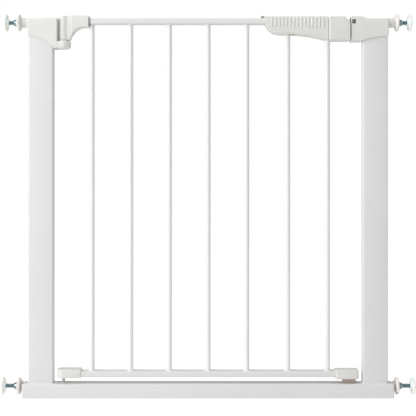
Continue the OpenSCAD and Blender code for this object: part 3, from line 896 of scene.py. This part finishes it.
def upper_hinge_bracket():
    """The lifting knuckle and its arm, arched underneath, socketed for the top rail."""
    lo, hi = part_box("upper_hinge_bracket")
    knuckle_r = HINGE_X - lo.x
    arc_x, arc_z, arc_r = hi.x - 7 * MM, 683 * MM, 28.5 * MM
    end_low = arc_z + arc_r
    neck_x = -261 * MM
    ease = 1 * MM
    profile = [(lo.z, 0), (lo.z, knuckle_r - ease / 2), (lo.z + ease / 2, knuckle_r)]
    for k in range(6):
        turn = TAU / 20 * k
        profile.append((hi.z - ease * 2 * (1 - math.sin(turn)),
                        knuckle_r - ease * 2 * (1 - math.cos(turn))))
    profile.append((hi.z, 0))
    knuckle = lathe("z", (HINGE_X, 0), profile)

    def underside(x):
        return end_low if x > arc_x else arc_height(x, arc_x, arc_z, arc_r, lo.z)

    neck = moulding(HINGE_X, neck_x, 6.5 * MM, underside, hi.z, corner=(ease, 2 * ease),
                    ends=(0.1 * MM, 0.1 * MM), count=14)
    arm = moulding(neck_x - ease, hi.x, hi.y, underside, hi.z, corner=(ease, 2 * ease),
                   ends=(1.2 * ease, 0.6 * ease), count=40)
    solid = carve(carve(knuckle, [neck], "UNION"), [arm], "UNION")
    bush_r = UPPER_BUSH_R + RUNNING_GAP
    rail_half = RAIL_HIGH.y
    gap = 0.7 * MM
    cutters = [
        rod_bm("z", (HINGE_X, 0), bush_r, CUT_FROM_Z, hi.z - MM),
        box_bm((RAIL_LOW.x, -rail_half, RAIL_LOW.z), (hi.x + MM, rail_half, RAIL_HIGH.z)),
        box_bm((hi.x - 3 * MM, -rail_half - gap, RAIL_LOW.z - gap),
               (hi.x + MM, rail_half + gap, RAIL_HIGH.z + gap)),
    ]
    return finished("upper_hinge_bracket_moulding", carve(solid, cutters), "upper_hinge_bracket")


def bracket_collar():
    """A grey ring round the top rail in the mouth of the bracket's socket: painted shade for the
    shadow that the bracket's end casts on the rail.
    """
    end_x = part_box("upper_hinge_bracket")[1].x
    centre = (0.0, RAIL_MID_Z)
    proud, length, sunk = 0.6 * MM, 3.6 * MM, 2.5 * MM
    size = (2 * RAIL_HIGH.y + 2 * proud, RAIL_HIGH.z - RAIL_LOW.z + 2 * proud)
    bm = tube("x", end_x - sunk, end_x + length, centre, size, 2.4 * MM, proud - 0.05 * MM)
    # the grey ring is painted shade
    return add_trim(settle(object_of("bracket_collar", bm)), "panel", "tab_plastic")


def plate(lo, hi, corners, edge):
    """A moulded block whose plan has a corner radius at its left and at its right end, and
    whose top and bottom edges are rounded over by edge."""
    half = (hi.y - lo.y) / 2
    rings = []
    levels = [(lo.z + edge * (1 - math.cos(TAU / 20 * k)), edge * (1 - math.sin(TAU / 20 * k)))
              for k in range(6)]
    levels += [(hi.z - (z - lo.z), inset) for z, inset in reversed(levels)]
    for z, inset in levels:
        ring = []
        for k, (sx, sy) in enumerate(((1, 1), (-1, 1), (-1, -1), (1, -1))):
            full = corners[1] if sx > 0 else corners[0]
            r = max(full - inset, 0.2 * MM)
            cx = (hi.x - inset - r) if sx > 0 else (lo.x + inset + r)
            cy = sy * (half - inset - r)
            for i in range(9):
                a = TAU * (k + i / 8) / 4
                ring.append(Vector((cx + r * math.cos(a), cy + r * math.sin(a), z)))
        rings.append(ring)
    bm = bmesh.new()
    skin(bm, rings)
    return bm


def lower_hinge_block():
    """The round-ended block on the lower rail, bored for the pin."""
    lo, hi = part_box("lower_hinge_block")
    rail_lo, rail_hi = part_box("gate_bottom_rail")
    round_end = HINGE_X - lo.x - 0.05 * MM
    bm = plate(lo, hi, (round_end, 2 * MM), 1.2 * MM)
    pin_r = (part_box("lower_hinge_pin")[1].x - HINGE_X)
    cutters = [box_bm(tuple(rail_lo), (hi.x + MM, rail_hi.y, rail_hi.z)),
               rod_bm("z", (HINGE_X, 0), pin_r, lo.z - MM, lo.z + 12 * MM)]
    return finished("lower_hinge_block_moulding", carve(bm, cutters), "lower_hinge_block")


# ---------------------------------------------------------------- gate panel

def gate_rail(node):
    """A flat rail of rounded tube."""
    lo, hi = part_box(node)
    centre, size = middle(node)
    bm = tube("x", lo.x, hi.x, (centre.y, centre.z), size.yz, 2 * MM, TUBE_WALL)
    piece = finished(node + "_tube", bm, node)
    # the rails keep the frame's tone, not the bars' painted highlight
    piece.data.materials[0] = RAIL_ENAMEL
    return piece


def barred_infill():
    """The seven round bars with the weld at each foot, as copies of one bar."""
    names = ["bar_%d" % k for k in range(1, 8)]
    lo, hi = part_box(names[0])
    r, length = (hi.x - lo.x) / 2, hi.z - lo.z
    foot, head = 1.5 * MM, 0.3 * MM
    profile = [(0, r - TUBE_WALL), (0, r + foot), (0.5 * MM, r + foot * 0.8),
               (1.2 * MM, r + foot * 0.45), (2.2 * MM, r + foot * 0.12), (3 * MM, r),
               (length - 2 * MM, r), (length - 0.5 * MM, r + head), (length, r + head),
               (length, r - TUBE_WALL)]
    proto = settle(object_of("bar_pattern", lathe("z", (0, 0), profile, steps=40)), 50)
    points = []
    for name in names:
        low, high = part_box(name)
        points.append(((low.x + high.x) / 2, 0, low.z))
    piece = grown("barred_infill", COPIES,
                  {"Copy": proto, "Material": MATERIALS[SLOT_OF[names[0]]]}, points)
    bpy.data.objects.remove(proto)
    return adopt(piece, *names)


def latch_shoe():
    """The shoe that drops over the bottom stop."""
    lo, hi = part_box("latch_shoe")
    rail_lo, rail_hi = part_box("gate_bottom_rail")
    stop_lo, stop_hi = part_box("bottom_stop")
    bm = plate(lo, hi, (4 * MM, 4 * MM), 1.2 * MM)
    cutters = [box_bm((lo.x - MM, rail_lo.y, rail_lo.z), tuple(rail_hi)),
               box_bm((stop_lo.x - 2 * MM, stop_lo.y - MM, lo.z - MM),
                      (stop_hi.x + 2.5 * MM, stop_hi.y + MM, stop_hi.z + 1.5 * MM))]
    return finished("latch_shoe_moulding", carve(bm, cutters), "latch_shoe")


def bottom_stop():
    """The small rounded stop that the shoe drops over."""
    lo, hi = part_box("bottom_stop")
    return finished("bottom_stop_moulding", plate(lo, hi, (2 * MM, 2 * MM), 1 * MM),
                    "bottom_stop")


# ---------------------------------------------------------------- latch housing and grip

def latch_housing():
    """The block on the end of the top rail that the bolt runs through."""
    lo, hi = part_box("latch_housing_front")
    slope_x, slope_z = 262 * MM, 720 * MM

    def top(x):
        return hi.z if x < slope_x else hi.z + (slope_z - hi.z) * (x - slope_x) / (hi.x - slope_x)

    bm = moulding(lo.x, hi.x, -lo.y, lo.z, top, corner=(2 * MM, 1.5 * MM),
                  ends=(3.6 * MM, 1.2 * MM), count=24, extra=(slope_x,))
    bolt_lo, bolt_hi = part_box("latch_bolt")
    bar_lo, bar_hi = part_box("bar_7")
    bar_x = (bar_lo.x + bar_hi.x) / 2
    cutters = [
        box_bm((lo.x - MM, -RAIL_HIGH.y, RAIL_LOW.z), tuple(RAIL_HIGH)),
        rod_bm("z", (bar_x, 0), (bar_hi.x - bar_lo.x) / 2, CUT_FROM_Z, RAIL_LOW.z + MM),
        box_bm((lo.x - MM, bolt_lo.y - SLIDING_GAP, bolt_lo.z - SLIDING_GAP),
               (hi.x + MM, bolt_hi.y + SLIDING_GAP, bolt_hi.z + SLIDING_GAP)),
        *screw_recesses("housing_screws", -lo.y),
    ]
    split_moulding("latch_housing", carve(bm, cutters), "latch_housing_front",
                   "latch_housing_rear")


def rib_pattern(name, width, out, length):
    """A round-nosed rib that hangs down from the origin, half of it sunk in the surface."""
    rings = []
    nose = width / 2
    for k in range(7):
        turn = TAU / 24 * k
        rings.append((-nose * (1 - math.cos(turn)), nose * (1 - math.sin(turn))))
    rings += [(-length - z, inset) for z, inset in reversed(rings)]
    bm = bmesh.new()
    skin(bm, [[Vector((u, v, z)) for u, v in round_rect(
        max(width - 2 * inset, 0.1 * MM), max(2 * (out - inset * out / nose), 0.1 * MM),
        max(min(0.9 * MM, (out - inset * out / nose) * 0.95), 0.02 * MM), 3)]
        for z, inset in rings])
    return settle(object_of(name, bm))


def grip_ribs():
    """The rows of finger ribs on the grip's front and rear, each rib longer than the last."""
    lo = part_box("grip_front")[0]
    out, width, pitch, count = 1 * MM, 3 * MM, 7 * MM, 15
    first_x = lo.x + 13 * MM + width / 2
    top_z, first_low_z, drop = 728.5 * MM, 711 * MM, 0.2 * MM
    length = top_z - first_low_z
    face_y = -lo.y - out
    proto = rib_pattern("rib_pattern", width, out, length)
    piece = grown("grip_finger_ribs", ROW,
                  {"Copy": proto, "Count": count, "Pitch": pitch, "Stretch": drop / length,
                   "Material": MATERIALS["grip_plastic"]},
                  [(first_x, -face_y, top_z), (first_x, face_y, top_z)])
    bpy.data.objects.remove(proto)
    return add_trim(piece, "handle", "grip_plastic")


def grip():
    """The sliding grip: a long curved handle with a swept tip, hollow for the rail and bars."""
    lo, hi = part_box("grip_front")
    half = -lo.y - 1 * MM
    tip_r, tip_h = 30 * MM, 30.5 * MM
    tip_x, tip_z = lo.x + tip_r, 728 * MM
    belly_x, belly_drop = lo.x + 42 * MM, hi.z - lo.z - (hi.z - tip_z) - tip_h
    flat_z = tip_z - tip_h

    def underside(x):
        if x < tip_x:
            return tip_z - tip_h * math.sqrt(max(1 - ((x - tip_x) / tip_r) ** 2, 0))
        if x < belly_x:
            return flat_z
        return flat_z - belly_drop * ((x - belly_x) / (hi.x - belly_x)) ** 2

    swept = tuple(lo.x + tip_r * (1 - math.cos(TAU / 4 * k / 12)) for k in range(1, 13))
    bm = moulding(lo.x, hi.x, half, underside, hi.z, corner=(3 * MM, 2.2 * MM),
                  ends=(0.6 * MM, 0.3 * MM), count=70, extra=swept)
    slide = 10 * MM
    cutters = [box_bm((lo.x - MM, -RAIL_HIGH.y - SLIDING_GAP, RAIL_LOW.z - SLIDING_GAP),
                      (hi.x + MM, RAIL_HIGH.y + SLIDING_GAP, RAIL_HIGH.z + SLIDING_GAP))]
    for name in ("bar_6", "bar_7"):
        bar_lo, bar_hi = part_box(name)
        slot_half = (bar_hi.x - bar_lo.x) / 2 + SLIDING_GAP
        bar_x = (bar_lo.x + bar_hi.x) / 2
        rings = []
        for z in (CUT_FROM_Z, RAIL_LOW.z):
            ring = []
            for end_x, first in ((bar_x + slide, -TAU / 4), (bar_x, TAU / 4)):
                for i in range(33):
                    a = TAU * i / 64 + first
                    ring.append(Vector((end_x + slot_half * math.cos(a),
                                        slot_half * math.sin(a), z)))
            rings.append(ring)
        slot = bmesh.new()
        skin(slot, rings)
        cutters.append(slot)
    cutters += screw_recesses("grip_screws", half)
    split_moulding("grip", carve(bm, cutters), "grip_front", "grip_rear")


def rounded_bar(node, corner_mm, ends_mm):
    """A small bar along X with rounded edges and ends."""
    lo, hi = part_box(node)
    bm = moulding(lo.x, hi.x, (hi.y - lo.y) / 2, lo.z, hi.z, (corner_mm * MM,) * 2,
                  (ends_mm[0] * MM, ends_mm[1] * MM), count=6)
    return finished(node + "_finish", bm, node)


def latch_spring():
    """The return spring, a coil of round wire along the rail."""
    lo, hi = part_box("latch_spring")
    wire_r = 0.5 * MM
    coil_r = (hi.z - lo.z) / 2 - wire_r
    piece = grown("latch_spring_coil", COIL,
                  {"Length": hi.x - lo.x - 2 * wire_r, "Turns": 9.0, "Coil Radius": coil_r,
                   "Wire Radius": wire_r, "Turn Steps": 24,
                   "Material": MATERIALS["bright_steel"]}, [(0, 0, 0)])
    place = Vector((lo.x + wire_r, 0, (lo.z + hi.z) / 2))
    piece.data.transform(Matrix.Translation(place) @ Matrix.Rotation(TAU / 4, 4, "Y"))
    return adopt(piece, "latch_spring")


# ---------------------------------------------------------------- wall screws

def corner_axis(corner):
    """Which way a corner's screw points along X, and its height."""
    return (1 if "right" in corner else -1), (UPPER_Z if "upper" in corner else LOWER_Z)


def ends_out(node):
    """How far out along X a part's near and far ends are, and its box's size."""
    centre, size = middle(node)
    return abs(centre.x) - size.x / 2, abs(centre.x) + size.x / 2, size


def hand_wheel(corner):
    """A lens-shaped wheel with finger scallops round its rim and a hub on its inner side."""
    node = corner + "_hand_wheel"
    side, z = corner_axis(corner)
    near, far, size = ends_out(node)
    rim_r, hub_r, bore = size.z / 2, HUB_R, 6 * MM
    back = far - 5.5 * MM
    profile = [(near, bore), (near, hub_r - 0.6 * MM), (near + 0.6 * MM, hub_r),
               (back - 0.9 * MM, hub_r), (back - 0.2 * MM, hub_r + 0.8 * MM)]
    profile += [(back + 0.3 * MM, rim_r - 2.6 * MM)]
    mid, deep = (back + far) / 2, (far - back) / 2
    for k in range(9):
        turn = TAU / 2 * k / 8
        profile.append((mid - deep * 0.92 * math.cos(turn),
                        rim_r - 1.9 * MM * (1 - math.sin(turn))))
    profile += [(far - 0.05 * MM, rim_r - 4.5 * MM), (far, rim_r - 6.5 * MM), (far, bore)]
    bm = lathe("x", (0, z), [(side * a, r) for a, r in profile], steps=144, lobes=12,
               depth=0.7 * MM, beyond=rim_r - 2.2 * MM)
    return finished(corner + "_wheel_moulding", bm, node)


def hub_painted_shade_ring(corner):
    """A thin tan ring over a lower wheel's hub, on the side of the frame: painted shade for the
    dark gap between the wheel and the rail's end.
    """
    side, z = corner_axis(corner)
    near, far, _ = ends_out(corner + "_hand_wheel")
    proud, sunk = 0.15 * MM, 0.3 * MM
    low, high = near + 0.7 * MM, far - 6.6 * MM
    profile = [(low, HUB_R - sunk), (low, HUB_R + proud), (high, HUB_R + proud),
               (high, HUB_R - sunk)]
    bm = lathe("x", (0, z), [(side * a, r) for a, r in profile], steps=64)
    piece = settle(object_of(corner + "_hub_washer", bm))
    # the tan ring is painted shade, not a part of the gate
    return add_trim(piece, BODY_OF[corner + "_hand_wheel"], "stop_plastic")


def cone_nut(corner):
    """The plated nut pressed in the wheel: a flanged cone, grooved where it was turned."""
    node = corner + "_cone_nut"
    side, z = corner_axis(corner)
    near, far, _ = ends_out(node)
    base = ends_out(corner + "_hand_wheel")[1]
    bore, core, wide, tip = SPINDLE_R + RUNNING_GAP, 6 * MM, 8 * MM, 5 * MM
    tall = far - base
    profile = [(near, bore), (near, core), (base, core), (base, wide - 0.3 * MM),
               (base + 0.3 * MM, wide)]
    for share in (0.3, 0.6):
        r = wide + (tip - wide) * share
        along = base + tall * share
        profile += [(along - 0.25 * MM, r + 0.1 * MM), (along, r - 0.35 * MM),
                    (along + 0.35 * MM, r - 0.1 * MM)]
    profile += [(far - 0.4 * MM, tip + 0.2 * MM), (far, tip - 0.2 * MM), (far, bore)]
    bm = lathe("x", (0, z), [(side * a, r) for a, r in profile], steps=48)
    return finished(corner + "_nut_turned", bm, node, crease_deg=25)


def spindle(corner):
    """The threaded rod, M8 at a 1.25 mm pitch."""
    node = corner + "_spindle"
    side, z = corner_axis(corner)
    near, _, size = ends_out(node)
    ridge = 0.55 * MM
    piece = grown(corner + "_spindle_thread", THREAD,
                  {"Length": size.x - 2 * ridge, "Turns": size.x / THREAD_PITCH,
                   "Core Radius": SPINDLE_R - ridge, "Ridge": ridge, "Turn Steps": 24,
                   "Material": MATERIALS["zinc_steel"]}, [(0, 0, 0)])
    start = Vector((side * (near + ridge), 0, z))
    piece.data.transform(Matrix.Translation(start) @ Matrix.Rotation(side * TAU / 4, 4, "Y"))
    return adopt(piece, node)


def wall_pad(corner):
    """A moulded pad: a round rim, a dished back and concentric rings on its wall face."""
    node = corner + "_wall_pad"
    side, z = corner_axis(corner)
    near, face, size = ends_out(node)
    pad_r, boss_r = size.z / 2, 7 * MM
    disc = face - 5 * MM
    bore = SPINDLE_R
    depth = disc + 1.5 * MM
    profile = [(depth, 0), (depth, bore), (near, bore), (near, boss_r - 0.8 * MM),
               (near + 0.8 * MM, boss_r), (disc - 0.6 * MM, boss_r + 0.1 * MM),
               (disc + 0.2 * MM, boss_r + 1.4 * MM), (disc + 0.5 * MM, pad_r - 3.5 * MM)]
    rim = 2 * MM
    middle_x = (disc + face) / 2
    for k in range(9):
        turn = TAU / 2 * k / 8
        profile.append((middle_x - (2.5 * MM - 0.3 * MM) * math.cos(turn),
                        pad_r - rim * (1 - math.sin(turn))))
    r = pad_r - 3.2 * MM
    while r > 3 * MM:
        profile += [(face, r), (face, r - 1.2 * MM), (face - 0.7 * MM, r - 1.5 * MM),
                    (face - 0.7 * MM, r - 2.4 * MM)]
        r -= 2.8 * MM
    profile.append((face - 0.2 * MM, 0))
    bm = lathe("x", (0, z), [(side * a, radius) for a, radius in profile], steps=72)
    return finished(corner + "_pad_moulding", bm, node)


# ---------------------------------------------------------------- the gate

floor_rail()
for side_name in ("left", "right"):
    welded_post(side_name + "_post")
    rail_end_cap("rail_end_cap_" + side_name)
    upper_sleeve("upper_sleeve_" + side_name)
hinge_casing()
hinge_cup()
latch_casing()
screw_set("casing_screws", 5)
screw_set("housing_screws", 17)
screw_set("grip_screws", 18)
softened("strike_plate", 0.3)
turned_pin("upper_hinge_pin", 0.8)
turned_pin("lower_hinge_pin", 0.6)
turned_pin("bolt_link_pin", 0.4)
flanged_bush("lower_pin_bush", 7 * MM, LOWER_BUSH_R, 2.6 * MM + RUNNING_GAP,
             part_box("bottom_rail")[1].z, 1.2 * MM)
flanged_bush("upper_hinge_bush", 9 * MM, UPPER_BUSH_R, 4 * MM + RUNNING_GAP,
             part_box("upper_hinge_bush")[0].z, 2 * MM)
upper_hinge_bracket()
bracket_collar()
lower_hinge_block()
latch_shoe()
bottom_stop()
gate_rail("gate_top_rail")
gate_rail("gate_bottom_rail")
barred_infill()
latch_housing()
grip()
grip_ribs()
rounded_bar("grip_end_tab", 1.2, (1, 0.3))
rounded_bar("latch_bolt", 0.5, (0.3, 1.5))
rounded_bar("spring_seat", 0.8, (0.3, 0.3))
latch_spring()
for corner_name in ("upper_left", "upper_right", "lower_left", "lower_right"):
    hand_wheel(corner_name)
    if "lower" in corner_name:
        hub_painted_shade_ring(corner_name)
    cone_nut(corner_name)
    spindle(corner_name)
    wall_pad(corner_name)


# ---------------------------------------------------------------- floor, light and camera

def studio_floor():
    """A plain white floor that stays near white under the soft light."""
    bm = bmesh.new()
    bmesh.ops.create_grid(bm, x_segments=1, y_segments=1, size=6.0)
    floor = object_of("studio_floor", bm)
    material, tree = new_material("white_floor")
    matt = add_node(tree, "ShaderNodeBsdfDiffuse", {"Color": linear("#f2f2f2")})
    bounce = add_node(tree, "ShaderNodeEmission", {"Color": linear("#ffffff"), "Strength": 0.1})
    paper = add_node(tree, "ShaderNodeAddShader", None,
                     {0: matt.outputs[0], 1: bounce.outputs[0]})
    lit = add_node(tree, "ShaderNodeEmission", {"Color": linear("#ffffff"), "Strength": 0.93})
    pale = add_node(tree, "ShaderNodeBsdfDiffuse", {"Color": linear("#6f6f6f")})
    bright = add_node(tree, "ShaderNodeAddShader", None, {0: lit.outputs[0], 1: pale.outputs[0]})
    path = add_node(tree, "ShaderNodeLightPath")
    mixed = add_node(tree, "ShaderNodeMixShader", None,
                     {0: path.outputs["Is Camera Ray"], 1: paper.outputs[0],
                      2: bright.outputs[0]})
    add_node(tree, "ShaderNodeOutputMaterial", None, {"Surface": mixed.outputs[0]})
    floor.data.materials.append(material)


def studio_world(ambient):
    """A white backdrop with a weaker even light from all round."""
    world = bpy.data.worlds.new("studio")
    bpy.context.scene.world = world
    world.use_nodes = True
    tree = world.node_tree
    tree.nodes.clear()
    path = add_node(tree, "ShaderNodeLightPath")
    level = add_node(tree, "ShaderNodeMapRange", {"To Min": ambient, "To Max": 1.0},
                     {"Value": path.outputs["Is Camera Ray"]})
    glow = add_node(tree, "ShaderNodeBackground", {"Color": linear("#ffffff")},
                    {"Strength": level.outputs["Result"]})
    add_node(tree, "ShaderNodeOutputWorld", None, {"Surface": glow.outputs["Background"]})


def soft_light(name, place, aim, size, watts):
    """A square softbox that looks at a point."""
    lamp = bpy.data.lights.new(name, "AREA")
    lamp.size = size
    lamp.energy = watts
    holder = bpy.data.objects.new(name, lamp)
    bpy.context.scene.collection.objects.link(holder)
    holder.location = place
    holder.rotation_euler = (Vector(aim) - Vector(place)).to_track_quat("-Z", "Y").to_euler()


def gate_camera():
    """A level camera in front of the gate, its view lowered by a small shift."""
    front_y = -15 * MM
    distance, view_w, view_mid_z, height = 1.650, 794.6 * MM, 364.1 * MM, 0.433
    camera = bpy.data.cameras.new("gate_camera")
    camera.sensor_width = 36
    camera.lens = camera.sensor_width * distance / view_w
    camera.shift_y = (view_mid_z - height) / view_w
    holder = bpy.data.objects.new("gate_camera", camera)
    bpy.context.scene.collection.objects.link(holder)
    holder.location = (0, front_y - distance, height)
    holder.rotation_euler = (TAU / 4, 0, 0)
    bpy.context.scene.camera = holder


studio_floor()
studio_world(0.46)
soft_light("key_softbox", (-2.8, -1.5, 1.3), (0, 0, 0.4), 1.8, 56)
soft_light("top_softbox", (-0.3, -0.8, 2.8), (0, 0, 0.4), 1.8, 26)
gate_camera()
bpy.context.scene.view_settings.view_transform = "Standard"
